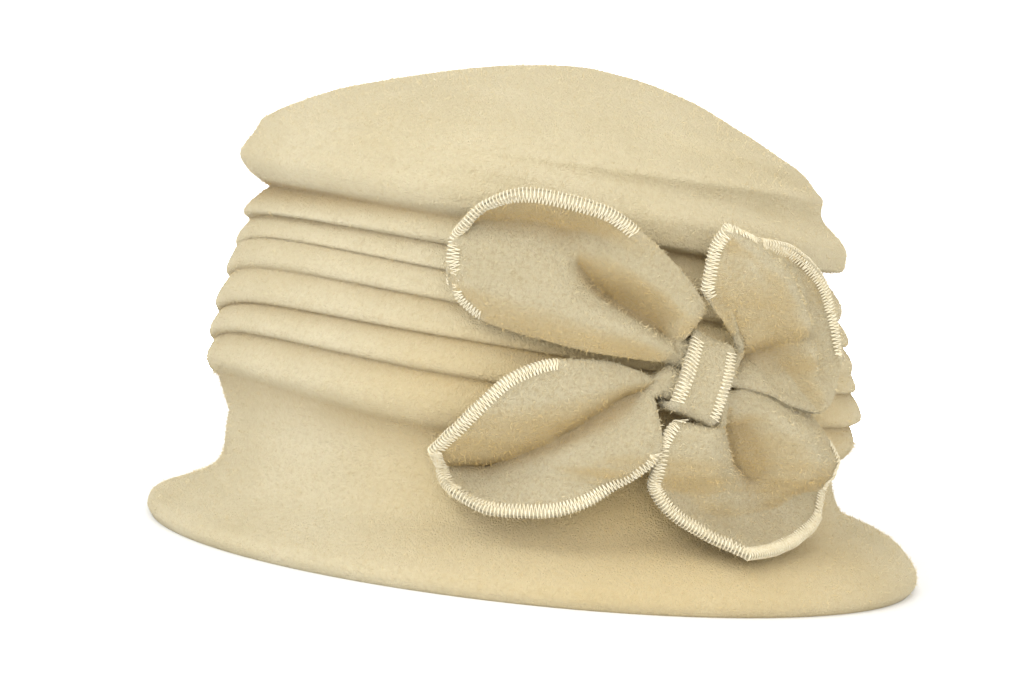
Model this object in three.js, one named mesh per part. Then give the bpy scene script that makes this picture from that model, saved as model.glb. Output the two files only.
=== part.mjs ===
// A soft cloche hat of boiled wool felt. The felt body is one piece: a domed crown with a soft edge,
// six tucks that wrap round the side, and a plain wall that flares into a short brim with a turned hem.
// A four-lobed bow of two gathered felt strips, held by a felt band, is sewn to the wearer's left side.
// Millimetres, +Z up. The wearer faces -Y, +X is the wearer's left, and the hem rests on z = 0.
import * as THREE from "three";

// Sizes of the felt body.
const hatHeight = 145.5; // floor to the top of the crown
const wallHalfWidth = 87.6; // outside of the plain wall, side to side
const wallHalfDepth = 93.4; // outside of the plain wall, front to back
const wallFoot = 32; // where the plain wall starts to flare
const brimOverhang = 25.3; // hem beyond the plain wall
const brimCock = 2.2; // how much the brim lifts behind the left ear, and drops opposite
const tuckSwell = 8; // fullest tuck beyond the plain wall
const creaseDepth = 4; // groove between two tucks
const creaseHang = 0.6; // how far a groove leans up under the tuck above it, per depth
const crownEdge = 9; // how far the crown's top edge draws in from the plain wall
const crownLean = 8; // forward lean of the crown
const leanTowards = -121; // degrees, the way the crown leans
const feltThickness = 2.2;
const creaseStep = 1.6; // height of a soft fold on the crown

// Sizes of the bow.
const bowAzimuth = -5; // degrees, the way the bow faces
const bowHeight = 63; // the band's centre above the floor
const bowFelt = 1.8; // thickness of the bow's felt
const bowSeat = 0.7; // the band's back above the fullest part of the tucks
const bandWidth = 12.6;
const bandTilt = 20; // degrees, the band's top towards the back of the hat
const stripWaist = 9; // width of a strip where the band gathers it
const gatherThickness = 6.8; // thickness of a strip where the band gathers it
const clearance = 0.35;
const lobeRise = 14; // height of the lobes above the hat

// How finely the surfaces are divided.
const roundSteps = 54;
const stripSteps = 2; // between two sections of a strip
const acrossSteps = 8; // across a strip
const bandSteps = 6; // on each corner of the band

const radians = Math.PI / 180;
const rows = (names, lines) => {
  const columns = names.split(" ");
  return lines.map((line) => Object.fromEntries(columns.map((name, i) => [name, line[i]])));
};

// The brim from the hem's foot up to the plain wall. out is a share of brimOverhang, up of wallFoot,
// cock of brimCock, and layers counts thicknesses of felt: the hem is turned up inside.
const brimRows = rows("out up cock layers", [
  [0.94, 0, 0, 2],
  [1, 0.08, 0, 2],
  [0.98, 0.16, 0.1, 2],
  [0.87, 0.24, 0.6, 1.5],
  [0.73, 0.31, 1, 1],
  [0.54, 0.385, 1, 1],
  [0.33, 0.46, 0.7, 1],
  [0.18, 0.54, 0.3, 1],
  [0.09, 0.64, 0, 1],
  [0.03, 0.81, 0, 1],
]);

// The tucks' outline over the wall. up is a share of the height above wallFoot, swell of tuckSwell.
const swellRows = rows("up swell", [
  [0, 0],
  [0.02, 0.14],
  [0.05, 0.52],
  [0.09, 0.84],
  [0.15, 1],
  [0.26, 0.72],
  [0.34, 0.44],
  [0.42, 0.14],
  [0.5, -0.26],
  [0.58, -0.2],
]);

// The grooves between the tucks, from the lowest up: the height of each one round the hat, as a share of
// the height above wallFoot, and how soft it is (1 is a wide valley, 0.5 a narrow line).
const directions = "front frontLeft left backLeft back backRight right frontRight";
const grooveRows = rows("soft " + directions, [
  [0.9, 0.104, 0.058, 0.028, 0.016, 0.02, 0.026, 0.034, 0.048],
  [0.85, 0.213, 0.196, 0.15, 0.122, 0.118, 0.124, 0.126, 0.132],
  [0.7, 0.288, 0.282, 0.242, 0.213, 0.205, 0.209, 0.205, 0.209],
  [0.9, 0.384, 0.366, 0.31, 0.267, 0.271, 0.293, 0.298, 0.302],
  [0.75, 0.463, 0.441, 0.386, 0.328, 0.333, 0.368, 0.386, 0.394],
  [0.7, 0.516, 0.501, 0.446, 0.394, 0.403, 0.439, 0.461, 0.472],
  [0.95, 0.566, 0.565, 0.532, 0.503, 0.503, 0.525, 0.545, 0.55],
]);

// How deep each groove is round the hat, as a share of creaseDepth.
const depthRows = rows(directions, [
  [0.6, 0.8, 0.7, 0.7, 0.6, 0.6, 0.6, 0.6],
  [0.85, 0.85, 0.8, 0.85, 0.75, 0.75, 0.75, 0.5],
  [1, 1, 1, 0.7, 0.9, 0.9, 0.8, 0.45],
  [0.6, 0.85, 0.6, 0.25, 0.5, 0.75, 0.75, 0.75],
  [0.5, 0.75, 0.75, 0.7, 0.6, 0.5, 0.5, 0.35],
  [0.85, 0.75, 0.75, 0.6, 0.75, 0.75, 0.65, 0.4],
  [1.7, 0.85, 1, 1.35, 1.25, 1.2, 1.3, 1.9],
]);

// The crown's full part and its top edge: height round the hat as a share of the height above wallFoot,
// and how far each draws in, as a share of crownEdge.
const crownHeights = rows(directions, [
  [0.625, 0.612, 0.565, 0.54, 0.535, 0.56, 0.61, 0.63],
  [0.675, 0.66, 0.625, 0.59, 0.585, 0.62, 0.66, 0.68],
  [0.753, 0.74, 0.72, 0.71, 0.71, 0.735, 0.758, 0.767],
]);
const crownInset = rows(directions, [
  [0.3, 0.02, 0, 0, 0, 0, 0, 0.35],
  [-0.11, -0.11, -0.11, -0.1, -0.1, -0.11, -0.11, -0.11],
  [0.45, 0.55, 0.8, 1.1, 1.05, 0.65, 0.4, 0.36],
]);

// The dome over the crown's edge: share of the edge's radius, and share of the height that is left.
const domeRows = rows("reach up", [
  [0.962, 0.13],
  [0.895, 0.28],
  [0.785, 0.44],
  [0.625, 0.62],
  [0.435, 0.8],
  [0.225, 0.94],
]);

// How the hat's axis leans with height, as shares of hatHeight and crownLean.
const leanRows = rows("up lean", [
  [0, 0],
  [0.08, 0],
  [0.19, 0.47],
  [0.31, 0.55],
  [0.45, 0.79],
  [0.69, 1],
  [0.85, 0.85],
  [0.9, 0.72],
  [0.96, 0.35],
  [1, 0.3],
]);

// Soft folds on the crown. Azimuths in degrees, heights as shares of the height above wallFoot,
// spread as a share of it too, and rise as a share of creaseStep: below zero is a hollow.
const foldRows = rows("from fromUp to toUp spread rise", [
  [-118, 0.76, 30, 0.65, 0.022, 1],
  [-70, 0.7, 85, 0.655, 0.03, -1.1],
  [-40, 0.76, 85, 0.7, 0.034, 0.9],
  [-25, 0.89, 70, 0.75, 0.03, 1],
  [-20, 0.83, 55, 0.72, 0.028, -1.1],
  [-150, 0.86, -60, 0.79, 0.03, -0.6],
  [100, 0.72, 190, 0.8, 0.03, 0.35],
  [130, 0.86, 230, 0.75, 0.03, -0.3],
]);

// Each lobe of the bow: which strip carries it, the side it leaves the band from, the way it points
// over the hat's side (degrees, 0 is backwards, 90 up), and its length and half width.
// Its sections run outwards. topAt and lowAt are the section's two ends along the lobe, as shares of its
// length, topSide and lowSide their offsets as shares of its half width, and nose rounds the section out.
// The five lifts, from the top edge to the low edge, are shares of lobeRise.
const sectionColumns = "topAt topSide lowAt lowSide nose edge shoulder middle belly hem";
const lobes = {
  upperFront: {
    strip: "upper", side: -1, bearing: 163.6, length: 63, half: 27,
    sections: rows(sectionColumns, [
      [0, 0.5, 0.12, -0.2, 0.03, 0.84, 0.98, 0.42, 0.8, 0.5],
      [0.24, 0.86, 0.33, -0.32, 0, 0.98, 0.94, 0.36, 0.96, 0.5],
      [0.54, 1.04, 0.57, -0.4, 0, 1.14, 0.5, 0.7, 0.94, 0.4],
      [0.78, 0.96, 0.79, -0.44, 0.02, 1.1, 0.44, 0.74, 0.84, 0.36],
      [0.93, 0.68, 0.93, -0.31, 0.05, 0.98, 0.5, 0.74, 0.74, 0.52],
      [0.99, 0.34, 0.98, -0.1, 0.03, 0.92, 0.78, 0.8, 0.8, 0.72],
    ]),
  },
  lowerFront: {
    strip: "lower", side: -1, bearing: 205.4, length: 67, half: 20,
    sections: rows(sectionColumns, [
      [0.05, 0.16, 0.12, -0.2, 0, 0.34, 0.42, 0.4, 0.5, 0.5],
      [0.2, 0.54, 0.18, -0.74, 0, 0.3, 0.42, 0.22, 0.84, 0.9],
      [0.37, 0.78, 0.38, -1.04, 0, 0.52, 0.5, 0.16, 0.9, 1.1],
      [0.54, 0.8, 0.52, -1.12, 0, 0.76, 0.58, 0.18, 0.84, 1.14],
      [0.68, 0.62, 0.66, -1.06, 0, 0.84, 0.58, 0.22, 0.7, 1.08],
      [0.84, 0.34, 0.83, -0.84, 0.015, 0.86, 0.56, 0.26, 0.56, 0.98],
      [0.95, 0.16, 0.94, -0.44, 0.045, 0.88, 0.66, 0.5, 0.62, 0.9],
    ]),
  },
  upperBack: {
    strip: "upper", side: 1, bearing: 40, length: 46, half: 30,
    sections: rows(sectionColumns, [
      [0.21, 0.06, -0.05, -0.12, 0.03, 0.56, 0.5, 0.48, 0.46, 0.46],
      [0.17, 0.74, 0.1, -0.36, 0.09, 0.96, 0.96, 0.58, 0.44, 0.6],
      [0.29, 0.96, 0.19, -0.62, 0, 1.12, 1.16, 0.7, 0.42, 0.7],
      [0.45, 1.12, 0.31, -0.85, 0, 1.2, 1.44, 1.04, 0.56, 0.78],
      [0.68, 0.84, 0.48, -0.96, 0, 0.86, 1.42, 1.2, 0.86, 0.84],
      [0.87, 0.5, 0.68, -0.92, 0, 0.8, 1.16, 1.16, 0.96, 0.84],
      [0.98, 0.1, 0.86, -0.78, 0.03, 0.66, 0.8, 0.88, 0.8, 0.7],
    ]),
  },
  lowerBack: {
    strip: "lower", side: 1, bearing: -60, length: 50, half: 29,
    sections: rows(sectionColumns, [
      [0.01, 0.17, 0.13, -0.21, 0.06, 0.44, 0.45, 0.45, 0.44, 0.42],
      [0.13, 0.6, -0.015, -0.47, 0.125, 0.38, 0.54, 0.34, 0.72, 0.6],
      [0.29, 0.88, 0.057, -0.72, 0, 0.34, 0.62, 0.3, 0.92, 0.74],
      [0.48, 0.98, 0.22, -0.88, 0, 0.4, 0.84, 0.36, 1, 0.86],
      [0.68, 1, 0.42, -0.88, 0, 0.7, 0.92, 0.64, 0.84, 0.96],
      [0.85, 0.92, 0.6, -0.72, 0, 0.8, 0.66, 0.6, 0.66, 1.02],
      [0.94, 0.6, 0.75, -0.54, 0.045, 0.94, 0.98, 0.98, 1, 1.08],
    ]),
  },
};

// A smooth curve through values at equal steps, with no overshoot between them.
function slopeAt(values, i) {
  const before = i > 0 ? values[i] - values[i - 1] : 0;
  const after = i < values.length - 1 ? values[i + 1] - values[i] : 0;
  if (i === 0) return after;
  if (i === values.length - 1) return before;
  return before * after <= 0 ? 0 : (2 * before * after) / (before + after);
}
function hermite(a, b, slopeA, slopeB, t) {
  const s = t * t * (3 - 2 * t);
  return a + (b - a) * s + (slopeA * (1 - t) - slopeB * t) * t * (1 - t);
}
function along(values, at) {
  const i = Math.min(Math.floor(at), values.length - 2);
  return hermite(values[i], values[i + 1], slopeAt(values, i), slopeAt(values, i + 1), at - i);
}

// The value of a row of eight directions at an azimuth, as a smooth closed curve.
const directionNames = directions.split(" ");
function round(row, azimuth) {
  const count = directionNames.length;
  const turn = (((azimuth + 90) / 360) % 1 + 1) % 1;
  const i = Math.floor(turn * count);
  const value = (k) => row[directionNames[(i + k + count) % count]];
  const slope = (k) => (value(k + 1) - value(k - 1)) / 2;
  return hermite(value(0), value(1), slope(0), slope(1), turn * count - i);
}

// The value of one column of a table at a height, straight between its rows.
function lookUp(table, key, column, x) {
  const last = table.length - 1;
  if (x <= table[0][key]) return table[0][column];
  if (x >= table[last][key]) return table[last][column];
  const i = table.findIndex((row) => row[key] > x) - 1;
  const share = (x - table[i][key]) / (table[i + 1][key] - table[i][key]);
  const s = share * share * (3 - 2 * share);
  const blend = (share + s) / 2;
  return table[i][column] + (table[i + 1][column] - table[i][column]) * blend;
}

const aboveFoot = hatHeight - wallFoot;
const heightOf = (share) => wallFoot + share * aboveFoot;

// The hat's axis at a height.
function axisAt(z) {
  const lean = crownLean * lookUp(leanRows, "up", "lean", z / hatHeight);
  return [lean * Math.cos(leanTowards * radians), lean * Math.sin(leanTowards * radians)];
}

// A point at an azimuth, out millimetres beyond the plain wall's oval, or at a share of that radius.
function ovalPoint(azimuth, out, z, reach = 1) {
  const [x, y] = axisAt(z);
  const c = Math.cos(azimuth * radians);
  const s = Math.sin(azimuth * radians);
  return new THREE.Vector3(x + reach * (wallHalfWidth + out) * c, y + reach * (wallHalfDepth + out) * s, z);
}

// The brim's rows at an azimuth, as points of its section: out from the wall, and height.
const cockTowards = leanTowards + 180;
function brimSection(azimuth) {
  const tilt = brimCock * Math.cos((azimuth - cockTowards) * radians);
  return brimRows.map((row) => ({
    out: row.out * brimOverhang, z: row.up * wallFoot + row.cock * tilt, layers: row.layers,
  }));
}

const swellAt = (z) => tuckSwell * lookUp(swellRows, "up", "swell", (z - wallFoot) / aboveFoot);

// The crown's side rows at an azimuth, and its dome rows, which close towards the top.
function crownSection(azimuth) {
  const side = crownHeights.map((heights, i) => ({
    out: -crownEdge * round(crownInset[i], azimuth), z: heightOf(round(heights, azimuth)), reach: 1,
  }));
  const edge = side[side.length - 1];
  const dome = domeRows.map((row) => ({
    out: edge.out, z: edge.z + row.up * (hatHeight - edge.z), reach: row.reach,
  }));
  return [...side, ...dome];
}

// The outward step of the soft folds at a place on the crown.
function foldStep(azimuth, z) {
  const up = (z - wallFoot) / aboveFoot;
  let step = 0;
  for (const fold of foldRows) {
    const turn = ((azimuth - fold.from + 540) % 360) - 180;
    const share = turn / (fold.to - fold.from);
    if (share <= 0 || share >= 1) continue;
    const away = (up - fold.fromUp - share * (fold.toUp - fold.fromUp)) / fold.spread;
    step += creaseStep * fold.rise * Math.sin(Math.PI * share) * Math.exp(-away * away);
  }
  return step;
}

// How far the body's smooth outside lies beyond the plain wall, at an azimuth and height up to the
// crown's edge. The bow lies on this surface.
function coverOut(azimuth, z) {
  if (z < wallFoot) {
    return lookUp([...brimSection(azimuth), { out: 0, z: wallFoot }], "z", "out", z);
  }
  const [foot, full, edge] = crownSection(azimuth);
  if (z < foot.z) return Math.max(swellAt(z), foot.out * (z - wallFoot) / (foot.z - wallFoot));
  return lookUp([foot, full, edge], "z", "out", z);
}

// A tuck's point between two grooves: share runs from the lower groove to the upper one.
function tuckPoint(azimuth, tuck, share) {
  const [low, high] = [grooveRows[tuck], grooveRows[tuck + 1]];
  const [lowZ, highZ] = [heightOf(round(low, azimuth)), heightOf(round(high, azimuth))];
  const soft = low.soft + (high.soft - low.soft) * share;
  const roll = Math.sin(Math.PI * Math.min(Math.max(share, 0), 1)) ** soft;
  const [lowDepth, highDepth] = [round(depthRows[tuck], azimuth), round(depthRows[tuck + 1], azimuth)];
  const depth = creaseDepth * (lowDepth + (highDepth - lowDepth) * share) * (1 - roll);
  const z = lowZ + (highZ - lowZ) * share;
  return { out: swellAt(z) - depth, z: z + creaseHang * depth, reach: 1 };
}

// The outside of the body's section at an azimuth, from the hem's foot to the crown's top edge and dome.
const tuckShares = [0, 0.14, 0.42, 0.78];
const lastGroove = grooveRows.length - 1;
function outerSection(azimuth) {
  const brim = brimSection(azimuth).map((p) => ({ ...p, reach: 1 }));
  const foot = { out: 0, z: wallFoot, reach: 1, layers: 1 };
  const tucks = [];
  for (let tuck = 0; tuck < lastGroove; tuck++) {
    for (const share of tuckShares) tucks.push(tuckPoint(azimuth, tuck, share));
  }
  tucks.push(tuckPoint(azimuth, lastGroove - 1, 1));
  return { brim: [...brim, foot], tucks, crown: crownSection(azimuth) };
}

// The inside of the same section. The felt keeps its thickness under each tuck and groove.
function innerSection(azimuth, outer) {
  const tucks = [];
  for (let tuck = 0; tuck < lastGroove; tuck++) {
    for (const share of [0, 0.5]) {
      const p = tuckPoint(azimuth, tuck, share);
      tucks.push({ ...p, out: p.out - feltThickness });
    }
  }
  const top = tuckPoint(azimuth, lastGroove - 1, 1);
  tucks.push({ ...top, out: top.out - feltThickness });
  return { brim: insetRun(outer.brim), tucks, crown: insetRun(outer.crown) };
}

// A run of a section moved inwards by the felt's thickness, square to the run. The hem's foot stays flat.
function insetRun(run) {
  const mean = (wallHalfWidth + wallHalfDepth) / 2;
  const radius = (p) => p.reach * (mean + p.out);
  return run.map((p, i) => {
    const before = run[Math.max(i - 1, 0)];
    const after = run[Math.min(i + 1, run.length - 1)];
    const dr = radius(after) - radius(before);
    const dz = after.z - before.z;
    const length = Math.hypot(dr, dz);
    const inset = feltThickness * (p.layers ?? 1);
    if (p.z === 0) return { ...p, out: p.out - inset };
    const r = radius(p) - (inset * dz) / length;
    const z = p.z + (inset * dr) / length;
    return { ...p, reach: r / (mean + p.out), z };
  });
}

// A closed body of rings round the head.
// Each section is a run of points, from the outer top to the inner top.
function bodyGeometry() {
  const positions = [];
  const sections = [];
  for (let k = 0; k < roundSteps; k++) {
    const azimuth = (k * 360) / roundSteps;
    const outer = outerSection(azimuth);
    const inner = innerSection(azimuth, outer);
    const outside = [...outer.brim, ...outer.tucks, ...outer.crown].reverse();
    const inside = [...inner.brim.filter((p, i) => i !== 1), ...inner.tucks, ...inner.crown];
    const crownFoot = outer.crown[0].z;
    const section = [...outside, ...inside].map((p) => {
      const fade = Math.min(Math.max((p.z - crownFoot) / (crownEdge / 2), 0), 1);
      const out = p.out + fade * foldStep(azimuth, p.z);
      return ovalPoint(azimuth, out, p.z, p.reach);
    });
    sections.push(section);
    for (const p of section) positions.push(p.x, p.y, p.z);
  }
  const count = sections[0].length;
  const index = [];
  for (let k = 0; k < roundSteps; k++) {
    const next = (k + 1) % roundSteps;
    for (let i = 0; i < count - 1; i++) {
      const [a, b, c, d] = [k * count + i, k * count + i + 1, next * count + i + 1, next * count + i];
      index.push(a, b, c, a, c, d);
    }
  }
  const top = positions.length / 3;
  for (const z of [hatHeight, hatHeight - feltThickness]) positions.push(...ovalPoint(0, 0, z, 0).toArray());
  for (let k = 0; k < roundSteps; k++) {
    const next = (k + 1) % roundSteps;
    index.push(top, k * count, next * count);
    index.push(top + 1, next * count + count - 1, k * count + count - 1);
  }
  return geometryOf(positions, index);
}

function geometryOf(positions, index) {
  const geometry = new THREE.BufferGeometry();
  geometry.setAttribute("position", new THREE.Float32BufferAttribute(positions, 3));
  geometry.setIndex(index);
  geometry.computeVertexNormals();
  return geometry;
}

// A point over the hat's side, in the bow's own measures: back along the side, up, and off the surface.
const sideRadius = wallHalfWidth + tuckSwell;
function bowPoint(back, up, lift) {
  const azimuth = bowAzimuth + back / sideRadius / radians;
  const z = bowHeight + up;
  return ovalPoint(azimuth, coverOut(azimuth, z) + lift, z);
}

// The band's frame: acrossBand runs along the strips, alongBand along the band's length.
const acrossBand = new THREE.Vector2(Math.cos(bandTilt * radians), -Math.sin(bandTilt * radians));
const alongBand = new THREE.Vector2(Math.sin(bandTilt * radians), Math.cos(bandTilt * radians));
const stackHeight = gatherThickness + 2 * clearance;
const waistLift = bowSeat + bowFelt + stackHeight / 2;
const stripGap = clearance;

// The control points of a strip's sections, each five across: back, up, lift and thickness.
function waistControl(strip, at) {
  const sign = strip === "upper" ? 1 : -1;
  const ends = [stripGap / 2 + stripWaist, stripGap / 2].map((d) => d * sign);
  const [top, low] = strip === "upper" ? ends : [ends[1], ends[0]];
  return [0, 0.25, 0.5, 0.75, 1].map((share, i) => {
    const across = top + (low - top) * share;
    const thin = i === 0 || i === 4 ? 0.5 : 0.86 + 0.08 * (i % 2);
    return {
      back: acrossBand.x * at + alongBand.x * across,
      up: acrossBand.y * at + alongBand.y * across,
      lift: waistLift,
      thick: gatherThickness * thin,
      gathered: 1,
    };
  });
}

function lobeControl(lobe) {
  const sign = lobe.strip === "upper" ? 1 : -1;
  const rootAcross = (sign * (stripGap + stripWaist)) / 2;
  const rootAt = (lobe.side * bandWidth) / 2;
  const root = {
    back: acrossBand.x * rootAt + alongBand.x * rootAcross,
    up: acrossBand.y * rootAt + alongBand.y * rootAcross,
  };
  const [ax, ay] = [Math.cos(lobe.bearing * radians), Math.sin(lobe.bearing * radians)];
  const [sx, sy] = lobe.side < 0 ? [ay, -ax] : [-ay, ax];
  return lobe.sections.map((section, i) => {
    const lifts = [section.edge, section.shoulder, section.middle, section.belly, section.hem];
    return lifts.map((lift, k) => {
      const share = k / 4;
      const at = section.topAt + (section.lowAt - section.topAt) * share;
      const nose = section.nose * (1 - (2 * share - 1) ** 2);
      const side = section.topSide + (section.lowSide - section.topSide) * share;
      const [l, w] = [(at + nose) * lobe.length, side * lobe.half];
      return {
        back: root.back + ax * l + sx * w,
        up: root.up + ay * l + sy * w,
        lift: lift * lobeRise,
        thick: bowFelt * (i === 0 ? 1.4 : 1),
        gathered: 0,
      };
    });
  });
}

// A whole strip: the sections of its front lobe from the tip, its gathered waist, and its back lobe.
function stripControl(strip) {
  const [front, back] = Object.values(lobes).filter((lobe) => lobe.strip === strip);
  const [edge, clear] = [bandWidth / 2 + clearance, bandWidth / 2 + 4 * clearance];
  const waist = [-clear, -edge, 0, edge, clear].map((at) => waistControl(strip, at));
  return [...lobeControl(front).reverse(), ...waist, ...lobeControl(back)];
}

// The strip's middle surface at a section number and a share across it.
function stripPoint(control, at, across) {
  const value = (key) => {
    const column = control.map((row) => along(row.map((p) => p[key]), across * 4));
    return along(column, at);
  };
  const [back, up, lift] = [value("back"), value("up"), value("lift")];
  const outward = bowPoint(back, up, lift + 1).sub(bowPoint(back, up, lift));
  return { middle: bowPoint(back, up, lift), thick: value("thick"), gathered: value("gathered"), outward };
}

// A felt sheet with a thickness: two faces offset from a grid of middle points, joined round the edge.
// The offset is square to the sheet, and straight outwards where the band gathers it.
function sheetGeometry(grid) {
  const [n, m] = [grid.length, grid[0].length];
  const positions = [];
  for (const face of [1, -1]) {
    for (let i = 0; i < n; i++) {
      for (let j = 0; j < m; j++) {
        const alongStrip = grid[Math.min(i + 1, n - 1)][j].middle.clone();
        alongStrip.sub(grid[Math.max(i - 1, 0)][j].middle);
        const acrossStrip = grid[i][Math.min(j + 1, m - 1)].middle.clone();
        acrossStrip.sub(grid[i][Math.max(j - 1, 0)].middle);
        const { middle, thick, gathered, outward } = grid[i][j];
        const normal = acrossStrip.cross(alongStrip).normalize().lerp(outward, gathered).normalize();
        const p = middle.clone().addScaledVector(normal, (face * thick) / 2);
        positions.push(p.x, p.y, p.z);
      }
    }
  }
  const index = [];
  const id = (face, i, j) => face * n * m + i * m + j;
  const quad = (a, b, c, d) => index.push(a, b, c, a, c, d);
  for (let i = 0; i < n - 1; i++) {
    for (let j = 0; j < m - 1; j++) {
      quad(id(0, i, j), id(0, i, j + 1), id(0, i + 1, j + 1), id(0, i + 1, j));
      quad(id(1, i, j), id(1, i + 1, j), id(1, i + 1, j + 1), id(1, i, j + 1));
    }
    quad(id(0, i, 0), id(0, i + 1, 0), id(1, i + 1, 0), id(1, i, 0));
    quad(id(0, i, m - 1), id(1, i, m - 1), id(1, i + 1, m - 1), id(0, i + 1, m - 1));
  }
  for (let j = 0; j < m - 1; j++) {
    quad(id(0, 0, j), id(1, 0, j), id(1, 0, j + 1), id(0, 0, j + 1));
    quad(id(0, n - 1, j), id(0, n - 1, j + 1), id(1, n - 1, j + 1), id(1, n - 1, j));
  }
  return geometryOf(positions, index);
}

function stripGeometry(strip) {
  const control = stripControl(strip);
  const steps = (control.length - 1) * stripSteps;
  const grid = [];
  for (let i = 0; i <= steps; i++) {
    const row = [];
    for (let j = 0; j <= acrossSteps; j++) row.push(stripPoint(control, i / stripSteps, j / acrossSteps));
    grid.push(row);
  }
  return sheetGeometry(grid);
}

// The band: a flat loop with round corners, closed round both strips' waists.
function loopOutline(halfLength, low, high, corner) {
  const points = [];
  const corners = [
    [halfLength - corner, high - corner], [-halfLength + corner, high - corner],
    [-halfLength + corner, low + corner], [halfLength - corner, low + corner],
  ];
  corners.forEach(([x, y], quarter) => {
    for (let k = 0; k <= bandSteps; k++) {
      const turn = ((quarter + k / bandSteps) * Math.PI) / 2;
      points.push([x + corner * Math.cos(turn), y + corner * Math.sin(turn)]);
    }
    if (quarter % 2) return;
    const side = quarter === 0 ? 1 : -1;
    for (const share of [0.6, 0.2, -0.2, -0.6]) {
      points.push([share * side * (halfLength - corner), quarter === 0 ? high : low]);
    }
  });
  return points;
}

function bandGeometry() {
  const innerHalf = stripWaist + stripGap / 2 + clearance;
  const innerLow = bowSeat + bowFelt;
  const innerHigh = innerLow + stackHeight;
  const innerCorner = bowFelt * 0.8;
  const inner = loopOutline(innerHalf, innerLow, innerHigh, innerCorner);
  const outer = loopOutline(innerHalf + bowFelt, bowSeat, innerHigh + bowFelt, innerCorner + bowFelt);
  const shares = [-1, -0.4, 0.4, 1];
  const rings = [...shares.map((at) => [outer, at]), ...shares.map((at) => [inner, -at])];
  const positions = [];
  for (const [loop, at] of rings) {
    for (const [length, lift] of loop) {
      const p = bowPoint(
        (acrossBand.x * at * bandWidth) / 2 + alongBand.x * length,
        (acrossBand.y * at * bandWidth) / 2 + alongBand.y * length,
        lift,
      );
      positions.push(p.x, p.y, p.z);
    }
  }
  const count = outer.length;
  const index = [];
  for (let ring = 0; ring < rings.length; ring++) {
    for (let k = 0; k < count; k++) {
      const [next, far] = [(k + 1) % count, ((ring + 1) % rings.length) * count];
      const [a, b, c, d] = [ring * count + k, ring * count + next, far + next, far + k];
      index.push(a, b, c, a, c, d);
    }
  }
  return geometryOf(positions, index);
}

const felt = () => new THREE.MeshStandardMaterial({ color: 0xe4dcc0, roughness: 0.95, metalness: 0 });
const pieces = {
  hat_body: bodyGeometry(),
  bow_strip_upper: stripGeometry("upper"),
  bow_strip_lower: stripGeometry("lower"),
  bow_band: bandGeometry(),
};
const hat = new THREE.Group();
for (const [name, geometry] of Object.entries(pieces)) {
  const mesh = new THREE.Mesh(geometry, felt());
  mesh.name = name;
  hat.add(mesh);
}

export default hat;
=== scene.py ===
# A cream cloche hat of boiled wool felt with a lobed felt bow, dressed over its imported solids.
import math
import bpy
import numpy as np
from mathutils import Matrix, Vector


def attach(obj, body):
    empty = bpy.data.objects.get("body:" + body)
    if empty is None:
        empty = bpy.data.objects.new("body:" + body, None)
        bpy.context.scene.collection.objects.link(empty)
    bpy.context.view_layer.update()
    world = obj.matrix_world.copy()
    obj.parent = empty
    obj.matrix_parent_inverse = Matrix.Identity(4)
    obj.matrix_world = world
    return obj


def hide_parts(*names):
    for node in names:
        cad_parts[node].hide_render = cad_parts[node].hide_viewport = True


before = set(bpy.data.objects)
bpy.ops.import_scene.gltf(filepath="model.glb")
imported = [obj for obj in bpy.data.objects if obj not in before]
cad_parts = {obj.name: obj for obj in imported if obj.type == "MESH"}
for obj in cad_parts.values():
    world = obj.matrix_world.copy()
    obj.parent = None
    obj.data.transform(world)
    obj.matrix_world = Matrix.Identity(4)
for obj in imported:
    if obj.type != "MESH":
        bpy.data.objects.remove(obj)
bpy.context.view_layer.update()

mm = 0.001

# Camera and studio. The lens, the roll and the camera's place were fitted to the photograph's view.
studio = dict(
    azimuth=59, distance=780, cameraHeight=114, aimHeight=61, aimShift=-13.6, roll=6.3,
    focalPixels=2566, imageWidth=1022, sensor=36, nearest=0.01,
    floorSize=9, backdropRadius=2.2, backdropSteps=24, floorColour=(0.9, 0.93, 1, 1), floorRoughness=0.9,
    lightAim=60, skyColour=(1, 0.915, 0.76, 1), skyStrength=0.88,
)
# Lights: degrees round from the camera and up, then the distance and size in metres, and the power in watts.
lights = dict(
    key=dict(turn=-50, rise=45, distance=1.5, size=0.8, power=6.5, colour=(0.92, 0.97, 1)),
    top=dict(turn=15, rise=74, distance=1.3, size=0.8, power=2, colour=(0.88, 0.95, 1)),
    rightFill=dict(turn=70, rise=20, distance=1.6, size=1.2, power=5, colour=(1, 0.97, 0.9)),
    frontFill=dict(turn=-10, rise=14, distance=1.9, size=1.6, power=20, colour=(1, 0.98, 0.94)),
    wash=dict(turn=180, rise=60, distance=0.9, size=1.8, power=240, colour=(1, 1, 1), onBackdrop=True),
)
# The felt body, in millimetres. Tables hold shares of these sizes.
hat = dict(
    height=145.5, wallHalfWidth=87.6, wallHalfDepth=93.4, wallFoot=32, brimOverhang=25.3, brimCock=2.2,
    tuckSwell=8, creaseDepth=4, creaseHang=0.6, crownEdge=9, crownLean=8, leanTowards=-121, felt=2.2,
    creaseStep=2.6, around=300, tipReach=0.06,
)
# Steps between the control points of the body's outer and inner face.
outerSteps = dict(brim=4, tuck=15, crown=7)
innerSteps = dict(brim=2, tuck=6, crown=3)
# The bow, in millimetres. Its azimuth is in degrees, and backwards along the side is positive.
bow = dict(
    azimuth=-5, height=63, felt=1.8, seat=0.7, bandWidth=12.6, bandTilt=20, waist=9, gather=6.8,
    clearance=0.35, lobeRise=14, rowsAlong=190, columnsAcross=52, foldedEdge=1.1, foldedWidth=6,
    valleySpan=7, valleyDepth=5, settledSpan=1.0, rootThickness=1.4, undersideShade=1.4, rimFade=1.25,
)
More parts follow.
